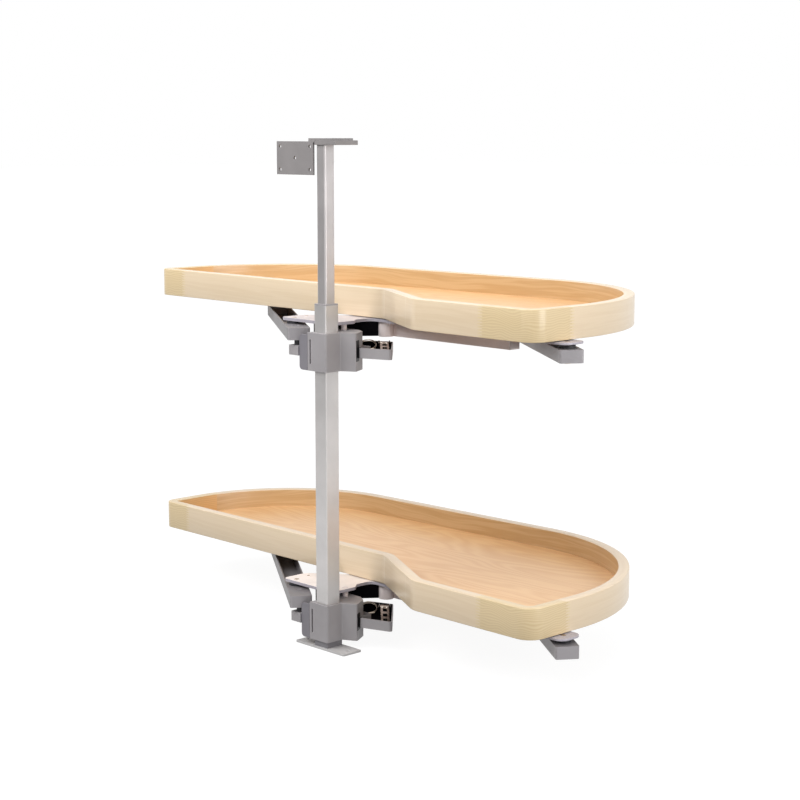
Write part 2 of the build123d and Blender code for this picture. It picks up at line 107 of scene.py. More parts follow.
class Network:
    """A node tree under construction, with short ways to add and join nodes."""

    def __init__(self, tree: bpy.types.NodeTree) -> None:
        """Hold the tree."""
        self.tree = tree

    def fill(self, target: Socket, value: object) -> None:
        """Link an input to a socket, or set its value.

        Args:
            target: The input.
            value: Another node's output, or a plain value.
        """
        if isinstance(value, bpy.types.NodeSocket):
            self.tree.links.new(value, target)
        else:
            target.default_value = value

    def add(
        self, kind: str, inputs: dict[str | int, object] | None = None, **settings: object
    ) -> Sockets:
        """Add a node, set its properties and fill or link its inputs.

        Args:
            kind: Node type identifier.
            inputs: Values or sockets by input name or place.
            settings: Property values by name.

        Returns:
            The new node's outputs.
        """
        node = self.tree.nodes.new(kind)
        for key, setting in settings.items():
            setattr(node, key, setting)
        for place, value in (inputs or {}).items():
            self.fill(node.inputs[place], value)
        return node.outputs

    def math(self, operation: str, *values: Socket | float) -> Socket:
        """Arithmetic on sockets or numbers, by Blender's name of the operation."""
        return self.add("ShaderNodeMath", dict(enumerate(values)), operation=operation)["Value"]

    def vector(self, **axes: Socket | float) -> Socket:
        """Vector from its parts X, Y and Z."""
        return self.add("ShaderNodeCombineXYZ", dict(axes))["Vector"]

    def split(self, source: Socket) -> Sockets:
        """Parts X, Y and Z of a vector."""
        return self.add("ShaderNodeSeparateXYZ", {"Vector": source})

    def seen(self) -> Socket:
        """Value that is 1 for what the camera sees directly, in gloss or through glass.

        Returns:
            The value's socket.
        """
        path = self.add("ShaderNodeLightPath")
        direct = self.math("MAXIMUM", path["Is Camera Ray"], path["Is Glossy Ray"])
        return self.math("MAXIMUM", direct, path["Is Transmission Ray"])


class Shader(Network):
    """A node material under construction."""

    def __init__(self, name: str) -> None:
        """Start a material that holds a Principled shader.

        Args:
            name: Name of the finish.
        """
        self.material = bpy.data.materials.new(name)
        self.material.use_nodes = True
        super().__init__(self.material.node_tree)
        self.surface = self.tree.nodes["Principled BSDF"]

    def put(self, name: str, value: object) -> None:
        """Set or link an input of the Principled shader."""
        self.fill(self.surface.inputs[name], value)

    def show(self, shader: Socket) -> None:
        """Send a shader to the material's output."""
        self.fill(self.tree.nodes["Material Output"].inputs["Surface"], shader)

    def place(self) -> Socket:
        """Object coordinates in metres."""
        return self.add("ShaderNodeTexCoord")["Object"]

    def chart(self, name: str) -> Socket:
        """Coordinates from one of the piece's own maps."""
        return self.add("ShaderNodeUVMap", uv_map=name)["UV"]

    def ramp(
        self, factor: Socket, first: tuple[float, Triple], second: tuple[float, Triple]
    ) -> Socket:
        """Colour ramp over a factor.

        Args:
            factor: Value that drives the ramp.
            first: Place and display colour of the first stop.
            second: Place and display colour of the second stop.

        Returns:
            The ramp's colour socket.
        """
        outputs = self.add("ShaderNodeValToRGB", {"Fac": factor})
        elements = outputs["Color"].node.color_ramp.elements
        for element, (place, colour) in zip(elements, (first, second)):
            element.position = place
            element.color = linear(colour)
        return outputs["Color"]

    def blend(self, factor: Socket | float, base: Socket, over: Triple) -> Socket:
        """Mix a display colour over another colour by a factor."""
        inputs = {0: factor, 6: base, 7: linear(over)}
        return self.add("ShaderNodeMix", inputs, data_type="RGBA")[2]

    def noise(
        self, place: Socket, scale: float, detail: float, roughness: float = 0.5
    ) -> Socket:
        """Noise value on given coordinates, with its octaves and the small ones' weight."""
        inputs = {"Vector": place, "Scale": scale, "Detail": detail, "Roughness": roughness}
        return self.add("ShaderNodeTexNoise", inputs)["Fac"]

    def mapped(self, source: Socket, scale: Triple, offset: Triple = (0.0, 0.0, 0.0)) -> Socket:
        """Coordinates stretched and shifted on each axis."""
        inputs = {"Vector": source, "Scale": scale, "Location": offset}
        return self.add("ShaderNodeMapping", inputs)["Vector"]

    def coat(
        self,
        base: Socket,
        grain: Socket,
        gloss: Pair,
        bump: float,
        depth: float = 0.1,
    ) -> Material:
        """Join colour, a roughness that follows the grain, and a fine relief.

        Args:
            base: Colour.
            grain: Value of the fine grain.
            gloss: Rise of the roughness with the grain, and its lowest value.
            bump: Strength of the relief.
            depth: Depth of the relief in millimetres.

        Returns:
            The finished material.
        """
        self.put("Base Color", base)
        self.put("Roughness", self.math("MULTIPLY_ADD", grain, *gloss))
        relief = {"Height": grain, "Strength": bump, "Distance": depth * MM}
        self.put("Normal", self.add("ShaderNodeBump", relief)["Normal"])
        return self.material


@dataclass
class MapleFinish(Shader):
    """Lacquered maple: fine pores, a soft figure and finger-jointed ends."""

    name: str
    light: Triple
    dark: Triple
    grain: Grain
    figure: float = 0.5
    waviness: float = 0.4
    neighbour: Triple | None = None
    seed: float = 0.0
    lacquer: float = 0.55
    pore_stretch: Triple = (16.0, 900.0, 900.0)
    cloud_stretch: Triple = (5.0, 9.0, 9.0)
    curl_stretch: Triple = (22.0, 30.0, 1.0)
    finger_half: float = 4.5
    tooth_taper: float = 0.28
    bend_highlight_half: float = 0.7
    bend_highlight_strength: float = 0.4
    curl_pitch: float = 3.2

    def __post_init__(self) -> None:
        """Start the material on the board's own map, or on a panel's place."""
        super().__init__(self.name)
        self.source = self.place() if self.grain is Grain.PANEL else self.chart("board")

    def build(self) -> Material:
        """Build the timber's node material.

        Returns:
            The material.
        """
        rings = self._curls() if self.grain is Grain.CURLY_BOARD else self._lines()
        pores = self.noise(self._stretched(self.pore_stretch), 1.0, 3.0, 0.6)
        cloud = self.noise(self._stretched(self.cloud_stretch), 1.0, 2.0)
        body = self.math("MULTIPLY_ADD", cloud, 0.5, self.math("MULTIPLY", pores, 0.3))
        tone = self.math("MULTIPLY_ADD", rings, self.figure, body)
        base = self.ramp(tone, (0.1, self.light), (0.95, self.dark))
        if self.neighbour is not None:
            base = self._bend_highlights(self._fingers(base))
        self.put("Coat Weight", self.lacquer)
        self.put("Coat Roughness", 0.22)
        return self.coat(base, pores, (0.14, 0.36), 0.12, 0.3)

    def _stretched(self, scale: Triple) -> Socket:
        """The board's coordinates, stretched on each axis and shifted by the seed."""
        return self.mapped(self.source, scale, (self.seed, self.seed * 0.37, self.seed * 0.11))

    def _lines(self) -> Socket:
        """Growth rings cut nearly flat, as long soft lines.

        Returns:
            Ring tone from 0 to 1.
        """
        panel = self.grain is Grain.PANEL
        stretch = (2.4, 15.0, 15.0) if panel else (2.2, 70.0, 70.0)
        detail, lines = (1.5, 96.0) if panel else (4.0, 34.0)
        warp = self.noise(self._stretched((3.0, 14.0, 14.0)), 1.0, 2.0)
        bend = self.vector(Y=self.math("MULTIPLY", warp, 6.0 * self.waviness))
        places = {0: self._stretched(stretch), 1: bend}
        shifted = self.add("ShaderNodeVectorMath", places, operation="ADD")["Vector"]
        figure = self.noise(shifted, 1.0, detail, 0.55)
        wave = self.math("SINE", self.math("MULTIPLY", figure, lines))
        return self.math("MULTIPLY_ADD", wave, 0.5, 0.5)

    def _curls(self) -> Socket:
        """Fine wavy lines of end-turned maple.

        Returns:
            Line tone from 0 to 1.
        """
        swirl = self.noise(self._stretched(self.curl_stretch), 1.0, 1.0)
        turns = math.tau / (self.curl_pitch * MM)
        height = self.math("MULTIPLY", self.split(self.source)["Y"], turns)
        phase = self.math("MULTIPLY_ADD", swirl, 26.0 * self.waviness, height)
        return self.math("MULTIPLY_ADD", self.math("SINE", phase), 0.5, 0.5)

    def _fingers(self, base: Socket) -> Socket:
        """Interlocking tapered fingers: the neighbour's timber shows in every second one.

        Args:
            base: Colour of this piece's own timber.

        Returns:
            Colour with the fingers in it.
        """
        joint = self.split(self.chart("joint"))
        along = joint["X"]
        near = self.math("LESS_THAN", self.math("ABSOLUTE", along), self.finger_half)
        tooth = self.math("PINGPONG", joint["Y"], 1.0)
        slope = self.math("MULTIPLY", along, self.tooth_taper / self.finger_half)
        slab = self.math("GREATER_THAN", self.math("ADD", tooth, slope), 0.5)
        side = self.math("GREATER_THAN", along, 0.0)
        swapped = self.math("ABSOLUTE", self.math("SUBTRACT", slab, side))
        return self.blend(self.math("MULTIPLY", near, swapped), base, self.neighbour)

    def _bend_highlights(self, base: Socket) -> Socket:
        """Faint painted highlight lines where the board's bends start and end.

        Args:
            base: Colour of the timber.

        Returns:
            Colour with the painted highlight lines in it.
        """
        gap = self.math("ABSOLUTE", self.split(self.chart("bend"))["X"])
        line = self.math("LESS_THAN", gap, self.bend_highlight_half)
        return self.blend(self.math("MULTIPLY", line, self.bend_highlight_strength), base, BEND_HIGHLIGHT)


@dataclass
class PaintFinish(Shader):
    """Powder-coated or silver-painted metal with a fine orange peel.

    Its painted shadow slots are boxes of painted shade that stand in for narrow dark gaps, each
    a box from one corner to the other in millimetres.
    """

    name: str
    colour: Triple
    roughness: float = 0.42
    metallic: float = 0.15
    peel: float = 0.1
    spread: float = 0.03
    painted_shadow_slots: tuple[tuple[Triple, Triple], ...] = ()

    def build(self) -> Material:
        """Build the paint's node material.

        Returns:
            The material.
        """
        super().__init__(self.name)
        source = self.place()
        speck = self.noise(source, 2600.0, 2.0)
        cloud = self.noise(source, 18.0, 3.0)
        tint = tuple(min(255.0, value * (1.0 + self.spread)) for value in self.colour)
        shade = tuple(value * (1.0 - self.spread) for value in self.colour)
        base = self.ramp(cloud, (0.35, shade), (0.65, tint))
        # painted shadow: each box darkens the paint where a narrow gap lies in shade
        for slot in self.painted_shadow_slots:
            base = self.blend(self._inside(source, *slot), base, SLOT_PAINTED_SHADOW)
        self.put("Metallic", self.metallic)
        return self.coat(base, speck, (0.12, self.roughness - 0.06), self.peel)

    def _inside(self, source: Socket, low: Triple, high: Triple) -> Socket:
        """Value that is 1 inside a box.

        Args:
            source: Object coordinates.
            low: Lowest corner in millimetres.
            high: Highest corner in millimetres.

        Returns:
            The value's socket.
        """
        places = self.split(source)
        inside: Socket | float = 1.0
        for axis, start, end in zip("XYZ", low, high):
            above = self.math("GREATER_THAN", places[axis], start * MM)
            below = self.math("LESS_THAN", places[axis], end * MM)
            inside = self.math("MULTIPLY", inside, self.math("MULTIPLY", above, below))
        return inside


@dataclass
class SteelFinish(Shader):
    """Bright zinc-plated steel, drawn along one axis."""

    name: str
    colour: Triple
    roughness: float = 0.26
    drawn: Triple = (40.0, 900.0, 900.0)

    def build(self) -> Material:
        """Build the steel's node material.

        Returns:
            The material.
        """
        super().__init__(self.name)
        streak = self.noise(self.mapped(self.place(), self.drawn), 1.0, 3.0)
        tint = tuple(min(255.0, value * 1.1) for value in self.colour)
        self.put("Metallic", 1.0)
        base = self.ramp(streak, (0.3, self.colour), (0.7, tint))
        return self.coat(base, streak, (0.2, self.roughness - 0.1), 0.08)


@dataclass
class PlasticFinish(Shader):
    """Moulded plastic with a fine grain."""

    name: str
    colour: Triple
    roughness: float = 0.5
    shine: float = 0.5

    def build(self) -> Material:
        """Build the plastic's node material.

        Returns:
            The material.
        """
        super().__init__(self.name)
        speck = self.noise(self.place(), 1500.0, 2.0)
        tint = tuple(value * 1.3 for value in self.colour)
        self.put("Specular IOR Level", self.shine)
        base = self.ramp(speck, (0.3, self.colour), (0.7, tint))
        return self.coat(base, speck, (0.15, self.roughness - 0.07), 0.15)


def link(name: str, data: bpy.types.ID) -> Piece:
    """Put a mesh, lamp or camera in the scene as an object at the origin.

    Args:
        name: Object name.
        data: Its mesh, lamp or camera.

    Returns:
        The object.
    """
    piece = bpy.data.objects.new(name, data)
    bpy.context.scene.collection.objects.link(piece)
    return piece


def baked(piece: Piece) -> Piece:
    """Turn a piece's modifiers into its plain mesh.

    Args:
        piece: Object with live modifiers.

    Returns:
        The same object without modifiers.
    """
    graph = bpy.context.evaluated_depsgraph_get()
    mesh = bpy.data.meshes.new_from_object(piece.evaluated_get(graph))
    piece.modifiers.clear()
    piece.data = mesh
    return piece


def finish(node: str, material: Material) -> None:
    """Give a carried-over node one material on every slot.

    Args:
        node: The CAD node's name.
        material: Its finish.
    """
    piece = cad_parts[node]
    if not piece.material_slots:
        piece.data.materials.append(material)
    for slot in piece.material_slots:
        slot.material = material


@dataclass(frozen=True)
class PaintedLightFaces:
    """A second material, painted light or shade, on the faces of a piece that pass a test of
    centre and normal.
    """

    material: Material
    holds: Callable[[Vector, Vector], bool]


def faces_up(_: Vector, normal: Vector) -> bool:
    """Whether a face looks straight up."""
    return normal.z > TOP_COSINE


def faces_left(_: Vector, normal: Vector) -> bool:
    """Whether a face looks to the arms' left side."""
    return normal.dot(ARMS_LEFT) > SIDE_COSINE


def faces_of_cheek(centre: Vector, _: Vector) -> bool:
    """Whether a face belongs to the clamp's side cheek."""
    return centre.x > CHEEK_STARTS


@dataclass
class EdgeSoftener:
    """Copies a carried-over node with its sharp edges slightly rounded."""

    width: float = 0.5 * MM
    segments: int = 2
    angle: float = math.radians(32.0)
    flat_angle: float = math.radians(0.5)
    crease_angle: float = math.radians(28.0)
    weld: float = 1e-6

    def copy(self, node: str, material: Material, body: str, *painted_light: PaintedLightFaces) -> Piece:
        """Replace a node by its rounded copy.

        Args:
            node: CAD node's name.
            material: Finish of the copy.
            body: Body that the copy rides on.
            painted_light: Materials of painted light or shade for some of its faces.

        Returns:
            The new piece.
        """
        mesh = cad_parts[node].data.copy()
        mesh.materials.clear()
        mesh.materials.append(material)
        shape = bmesh.new()
        shape.from_mesh(mesh)
        bmesh.ops.remove_doubles(shape, verts=shape.verts, dist=self.weld)
        bmesh.ops.dissolve_limit(
            shape, angle_limit=self.flat_angle, verts=shape.verts, edges=shape.edges
        )
        for face in shape.faces:
            face.material_index = 0
        shape.normal_update()
        # painted light and shade go on the faces that pass each test
        for index, painted_faces in enumerate(painted_light, 1):
            mesh.materials.append(painted_faces.material)
            for face in shape.faces:
                if painted_faces.holds(face.calc_center_median(), face.normal):
                    face.material_index = index
        shape.to_mesh(mesh)
        shape.free()
        piece = link(node + "_dressed", mesh)
        bevel = piece.modifiers.new("soft edges", "BEVEL")
        bevel.width = self.width
        bevel.segments = self.segments
        bevel.limit_method = "ANGLE"
        bevel.angle_limit = self.angle
        baked(piece)
        piece.data.shade_smooth()
        piece.data.set_sharp_from_angle(angle=self.crease_angle)
        piece.modifiers.new("weighted normals", "WEIGHTED_NORMAL").keep_sharp = True
        baked(piece)
        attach(piece, body)
        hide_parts(node)
        return piece


@dataclass
class TrayOutline:
    """Kidney-shaped plan of a tray, walked counter-clockwise from above.

    Each corner has its place in x and y and its rounding radius, in millimetres.
    """

    left_corner: Triple = (-543.0, 99.0, 20.0)
    notch_bend: Triple = (16.0, 99.0, 30.0)
    notch_return: Triple = (154.0, 24.0, 45.0)
    right_corner: Triple = (383.0, 24.0, 26.0)
    right_lobe: Triple = (383.0, 437.7, 299.0)
    left_lobe: Triple = (-543.0, 395.2, 235.0)
    turn_step: float = 2.0
    longest_span: float = 25.0

    def walk(self) -> Path:
        """Points on the outline with their inward normals.

        Returns:
            Closed list of points and unit normals.
        """
        front = (self.left_corner, self.notch_bend, self.notch_return, self.right_corner)
        corners = [(Vector(place), r) for *place, r in (*front, self.right_lobe, self.left_lobe)]
        stations: Path = []
        for index, (point, radius) in enumerate(corners):
            into = (point - corners[index - 1][0]).normalized()
            out = (corners[(index + 1) % len(corners)][0] - point).normalized()
            turn = math.atan2(into.x * out.y - into.y * out.x, into.dot(out))
            side = 1.0 if turn > 0 else -1.0
            tangent = point - into * (radius * math.tan(abs(turn) / 2))
            centre = tangent + Vector((-into.y, into.x)) * side * radius
            x, y = tangent - centre
            steps = max(2, math.ceil(math.degrees(abs(turn)) / self.turn_step))
            for number in range(steps + 1):
                angle = turn * number / steps
                cosine, sine = math.cos(angle), math.sin(angle)
                arm = Vector((x * cosine - y * sine, x * sine + y * cosine))
                stations.append((centre + arm, -arm.normalized() * side))
        return self._divide(stations)

    def _divide(self, stations: Path) -> Path:
        """Add points on the long straights.

        Args:
            stations: Points and normals.

        Returns:
            The finer list.
        """
        finer: Path = []
        for index, (point, normal) in enumerate(stations):
            following, next_normal = stations[(index + 1) % len(stations)]
            parts = max(1, math.ceil((following - point).length / self.longest_span))
            for number in range(parts):
                share = number / parts
                turned = normal.lerp(next_normal, share).normalized()
                finer.append((point.lerp(following, share), turned))
        return finer


@dataclass
class Tray:
    """One wooden tray: four rim boards round a floor panel, in millimetres."""

    tier: Tier
    height: float = 44.0
    thickness: float = 16.0
    edge_round: float = 1.0
    round_parts: int = 3
    wall_slack: float = 0.1
    finger_pitch: float = 44.0 / 21
    joint_marks: Marks = ((-474.7, 99.0), (285.2, 24.0), (383.0, 99.8), (-540.7, 203.2))
    bend_marks: Marks = ((19.1, 97.0), (123.7, 40.4))
    crease_angle: float = math.radians(50.0)

    def __post_init__(self) -> None:
        """Walk the outline once, and find the joints and bends on it."""
        self.outline: list[tuple[Vector, Vector, float]] = []
        walked = 0.0
        for point, normal in TrayOutline().walk():
            if self.outline:
                walked += (point - self.outline[-1][0]).length
            self.outline.append((point, normal, walked))
        self.total = walked + (self.outline[0][0] - self.outline[-1][0]).length
        self.joints = [self._length_at(Vector(mark)) for mark in self.joint_marks]
        self.bends = [self._length_at(Vector(mark)) for mark in self.bend_marks]

    def _length_at(self, mark: Vector) -> float:
        """Length walked to the point of the outline that is nearest to a mark."""
        return min(self.outline, key=lambda station: (station[0] - mark).length)[2]

    def section(self) -> list[Pair]:
        """Rounded cross-section as inward offsets and heights.

        Returns:
            Closed list of points in millimetres.
        """
        radius = self.edge_round
        inner, top = self.thickness - radius, self.height - radius
        middles = ((radius, radius), (inner, radius), (inner, top), (radius, top))
        points = []
        for (across, up), start in zip(middles, (180.0, 270.0, 0.0, 90.0)):
            for number in range(self.round_parts + 1):
                angle = math.radians(start + 90.0 * number / self.round_parts)
                points.append((across + radius * math.cos(angle), up + radius * math.sin(angle)))
        return points

    def board(self, name: str, start: float, end: float) -> bpy.types.Mesh:
        """Sweep the rim's section between two lengths of the outline.

        Args:
            name: Mesh name.
            start: First length.
            end: Last length, which may pass the outline's start.

        Returns:
            The closed board.
        """
        once_more = [(point, normal, at + self.total) for point, normal, at in self.outline]
        runs = [station for station in self.outline + once_more if start <= station[2] <= end]
        section = self.section()
        count = len(section)
        bottom = self.tier.tray_bottom()
        shape = bmesh.new()
        board_uv, joint_uv, bend_uv = map(shape.loops.layers.uv.new, ("board", "joint", "bend"))
        rings = []
        for point, normal, _ in runs:
            ring = []
            for across, up in section:
                place = point + normal * across
                ring.append(shape.verts.new((place.x * MM, place.y * MM, (bottom + up) * MM)))
            rings.append(ring)
        girth = [0.0]
        for index in range(count):
            girth.append(girth[-1] + math.dist(section[index], section[(index + 1) % count]))

        def mark(loop: bmesh.types.BMLoop, station: int, corner: int) -> None:
            """Write the coordinates of one face corner on all three maps.

            Args:
                loop: Face corner.
                station: Its ring's number.
                corner: Its number in the section.
            """
            length = runs[station][2]
            loop[board_uv].uv = (length * MM, girth[corner] * MM)
            gaps = [length - place - lap for lap in (0.0, self.total) for place in self.joints]
            height = section[corner % count][1]
            loop[joint_uv].uv = (min(gaps, key=abs), height / self.finger_pitch)
            loop[bend_uv].uv = (min((length - place for place in self.bends), key=abs), 0.0)

        for station in range(len(rings) - 1):
            for corner in range(count):
                places = ((0, 0), (1, 0), (1, 1), (0, 1))
                corners = [rings[station + ahead][(corner + up) % count] for ahead, up in places]
                face = shape.faces.new(corners)
                face.smooth = True
                # inner-wall faces take the second material, a painted-shade copy of the maple
                face.material_index = int(self._faces_inside(section, corner))
                for loop, (ahead, up) in zip(face.loops, places):
                    mark(loop, station + ahead, corner + up)
        last = len(rings) - 1
        for station, ring in ((0, rings[0]), (last, rings[last][::-1])):
            for loop in shape.faces.new(ring).loops:
                mark(loop, station, rings[station].index(loop.vert))
        bmesh.ops.recalc_face_normals(shape, faces=shape.faces)
        mesh = bpy.data.meshes.new(name)
        shape.to_mesh(mesh)
        shape.free()
        return mesh

    def _faces_inside(self, section: list[Pair], corner: int) -> bool:
        """Whether a strip of the section is the tray's inner wall, which gets painted shade."""
        ends = (section[corner], section[(corner + 1) % len(section)])
        return all(across > self.thickness - self.wall_slack for across, _ in ends)

    def dress(self, woods: Finishes) -> list[Piece]:
        """Build the boards and finish the floor panel.

        Args:
            woods: Materials by name.

        Returns:
            The new boards.
        """
        front_left, front_right, side_right, side_left = self.joints
        spans = {
            "front_board": (front_left, front_right, "rim"),
            "right_corner_block": (front_right, side_right, "corner"),
            "back_board": (side_right, side_left, "rim"),
            "left_corner_block": (side_left, front_left + self.total, "corner"),
        }
        boards = []
        for node, (start, end, wood) in spans.items():
            name = self.tier.named(node)
            mesh = self.board(name + "_timber", start, end)
            mesh.materials.append(woods[wood])
            # second material: darker, warmer painted-shade copy of the timber for the inner wall
            mesh.materials.append(woods[wood + "_inside"])
            mesh.set_sharp_from_angle(angle=self.crease_angle)
            piece = link(name + "_timber", mesh)
            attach(piece, self.tier.named("tray"))
            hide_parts(name)
            boards.append(piece)
        finish(self.tier.named("floor_panel"), woods["floor"])
        return boards


class NodeTree(Network):
    """A Geometry Nodes tree under construction, with named inputs."""

    def __init__(self, name: str) -> None:
        """Start an empty tree with a geometry input and output.

        Args:
            name: Name of the tree.
        """
        super().__init__(bpy.data.node_groups.new(name, "GeometryNodeTree"))
        self._open("Geometry", "OUTPUT", "Geometry")
        self._open("Geometry", "INPUT", "Geometry")
        self.entry = self.tree.nodes.new("NodeGroupInput")
        self.exit = self.tree.nodes.new("NodeGroupOutput")
        self.values: dict[str, object] = {}

    def _open(self, name: str, way: str, kind: str) -> bpy.types.NodeTreeInterfaceSocket:
        """Add an input or output to the tree."""
        kind = "NodeSocket" + kind
        return self.tree.interface.new_socket(name, in_out=way, socket_type=kind)

    def value(self, name: str, kind: str, setting: object) -> Socket:
        """Add a named input.

        Args:
            name: Name of the input.
            kind: Kind of socket.
            setting: Value that the modifier gets.

        Returns:
            The input's socket inside the tree.
        """
        self.values[self._open(name, "INPUT", kind).identifier] = setting
        return self.entry.outputs[name]

    def moved(self, geometry: Socket, **place: Socket | Triple) -> Socket:
        """Geometry with a Translation or Scale."""
        inputs = {"Geometry": geometry, **place}
        return self.add("GeometryNodeTransform", inputs)["Geometry"]

    def cut(self, whole: Socket, *tools: Socket) -> Socket:
        """Geometry with other geometry cut away.

        Args:
            whole: What is cut.
            tools: What is taken away.

        Returns:
            The rest.
        """
        outputs = self.add("GeometryNodeMeshBoolean", {"Mesh 1": whole}, operation="DIFFERENCE")
        for tool in tools:
            self.fill(outputs["Mesh"].node.inputs["Mesh 2"], tool)
        return outputs["Mesh"]

    def piece(
        self, name: str, mesh: bpy.types.Mesh, geometry: Socket, material: Material
    ) -> Piece:
        """End the tree in real geometry with its material, and run it on a mesh.

        Args:
            name: Name of the piece.
            mesh: Mesh that enters the tree.
            geometry: What the tree makes.
            material: Finish of the piece.

        Returns:
            The piece, without modifiers.
        """
        real = self.add("GeometryNodeRealizeInstances", {"Geometry": geometry})["Geometry"]
        paint = self.value("Material", "Material", material)
        inputs = {"Geometry": real, "Material": paint}
        dressed = self.add("GeometryNodeSetMaterial", inputs)["Geometry"]
        self.fill(self.exit.inputs["Geometry"], dressed)
        result = link(name, mesh)
        modifier = result.modifiers.new(name, "NODES")
        modifier.node_group = self.tree
        for identifier, setting in self.values.items():
            modifier[identifier] = setting
        return baked(result)


@dataclass
class Heads:
    """Small domed heads of screws or rivets, one on each given point, in millimetres."""

    name: str
    radius: float
    height: float
    points: list[Triple]
    normal: Triple
    crossed: bool = True
    bar_length: float = 1.1
    bar_width: float = 0.22
    segments: int = 24

    def build(self, material: Material, body: str) -> Piece:
        """Make the heads as one piece.

        Args:
            material: Finish of the heads.
            body: Body that carries them.

        Returns:
            The piece.
        """
        mesh = bpy.data.meshes.new(self.name)
        mesh.from_pydata([[value * MM for value in point] for point in self.points], [], [])
        facing = mesh.attributes.new("facing", "FLOAT_VECTOR", "POINT")
        facing.data.foreach_set("vector", [*self.normal] * len(self.points))
        tree = NodeTree(self.name)
        radius = tree.value("Radius", "Float", self.radius * MM)
        height = tree.value("Height", "Float", self.height * MM)
        sizes = {"Segments": self.segments, "Rings": self.segments // 2, "Radius": radius}
        ball = tree.add("GeometryNodeMeshUVSphere", sizes)["Mesh"]
        below = tree.add("GeometryNodeMeshCube", {"Size": (1.0, 1.0, 1.0)})["Mesh"]
        dome = tree.cut(ball, tree.moved(below, Translation=(0.0, 0.0, -0.5)))
        squash = tree.vector(X=1.0, Y=1.0, Z=tree.math("DIVIDE", height, radius))
        shape = tree.moved(dome, Scale=squash)
        if self.crossed:
            bars = [self._bar(tree, radius, height, sides) for sides in ("XY", "YX")]
            shape = tree.cut(shape, *bars)
        attribute = tree.add(
            "GeometryNodeInputNamedAttribute", {"Name": "facing"}, data_type="FLOAT_VECTOR"
        )
        inputs = {"Vector": attribute["Attribute"]}
        aim = tree.add("FunctionNodeAlignRotationToVector", inputs, axis="Z")["Rotation"]
        inputs = {"Points": tree.entry.outputs["Geometry"], "Instance": shape, "Rotation": aim}
        spread = tree.add("GeometryNodeInstanceOnPoints", inputs)["Instances"]
        piece = tree.piece(self.name, mesh, spread, material)
        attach(piece, body)
        return piece

    def _bar(self, tree: NodeTree, radius: Socket, height: Socket, sides: str) -> Socket:
        """One bar of the cross recess.

        Args:
            tree: Tree under construction.
            radius: Head's radius.
            height: Head's height.
            sides: Axis along the bar, then the axis across it.

        Returns:
            The bar's geometry socket.
        """
        long = tree.math("MULTIPLY", radius, self.bar_length)
        slim = tree.math("MULTIPLY", radius, self.bar_width)
        size = tree.vector(**{sides[0]: long, sides[1]: slim, "Z": height})
        bar = tree.add("GeometryNodeMeshCube", {"Size": size})["Mesh"]
        return tree.moved(bar, Translation=tree.vector(Z=height))


@dataclass
class CloserSpring:
    """Torsion spring of the soft-close unit: leaning turns with two legs, in millimetres."""

    tier: Tier
    place: Pair = (-7.0, 88.0)
    turn: float = -42.0
    lean: float = 30.0
    radius: float = 12.4
    wire: float = 0.6
    pitch: float = 2.6
    turns: float = 2.0
    leg: float = 9.0
    turn_parts: int = 48
    wire_sides: int = 10
    floor_below_tray: float = 49.3

    def build(self, material: Material, body: str) -> Piece:
        """Make the spring.

        Args:
            material: Finish of the wire.
            body: Body that carries it.

        Returns:
            The piece.
        """
        name = self.tier.named("spring_wire")
        tree = NodeTree(name)
        wire = tree.value("Wire radius", "Float", self.wire * MM)
        radius = tree.value("Coil radius", "Float", self.radius * MM)
        sizes = {
            "Resolution": self.turn_parts,
            "Rotations": tree.value("Turns", "Float", self.turns),
            "Start Radius": radius,
            "End Radius": radius,
            "Height": tree.value("Rise", "Float", self.pitch * self.turns * MM),
        }
        coil = tree.add("GeometryNodeCurveSpiral", sizes)["Curve"]
        whole = tree.add("GeometryNodeJoinGeometry")["Geometry"]
        for curve in (coil, *self._legs(tree)):
            tree.fill(whole.node.inputs["Geometry"], curve)
        sizes = {"Resolution": self.wire_sides, "Radius": wire}
        ring = tree.add("GeometryNodeCurvePrimitiveCircle", sizes)["Curve"]
        inputs = {"Curve": whole, "Profile Curve": ring, "Fill Caps": True}
        tube = tree.add("GeometryNodeCurveToMesh", inputs)["Mesh"]
        smooth = tree.add("GeometryNodeSetShadeSmooth", {"Geometry": tube})["Geometry"]
        piece = tree.piece(name, bpy.data.meshes.new(name), smooth, material)
        lean = Matrix.Rotation(math.radians(self.lean), 4, "Y")
        turn = Matrix.Rotation(math.radians(self.turn), 4, "Z")
        piece.data.transform(turn @ lean)
        lowest = min(vertex.co.z for vertex in piece.data.vertices)
        lift = (self.tier.tray_bottom() - self.floor_below_tray) * MM - lowest
        move = (self.place[0] * MM, self.place[1] * MM, lift)
        piece.data.transform(Matrix.Translation(move))
        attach(piece, body)
        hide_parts(self.tier.named("soft_close_spring"))
        return piece

    def _legs(self, tree: NodeTree) -> list[Socket]:
        """The two legs, along the coil's tangents.

        Args:
            tree: Tree under construction.

        Returns:
            Their curves.
        """
        legs = []
        for height, way in ((0.0, -1.0), (self.pitch * self.turns * MM, 1.0)):
            start = (self.radius * MM, 0.0, height)
            ends = {"Start": start, "End": (start[0], way * self.leg * MM, height)}
            legs.append(tree.add("GeometryNodeCurvePrimitiveLine", ends)["Curve"])
        return legs


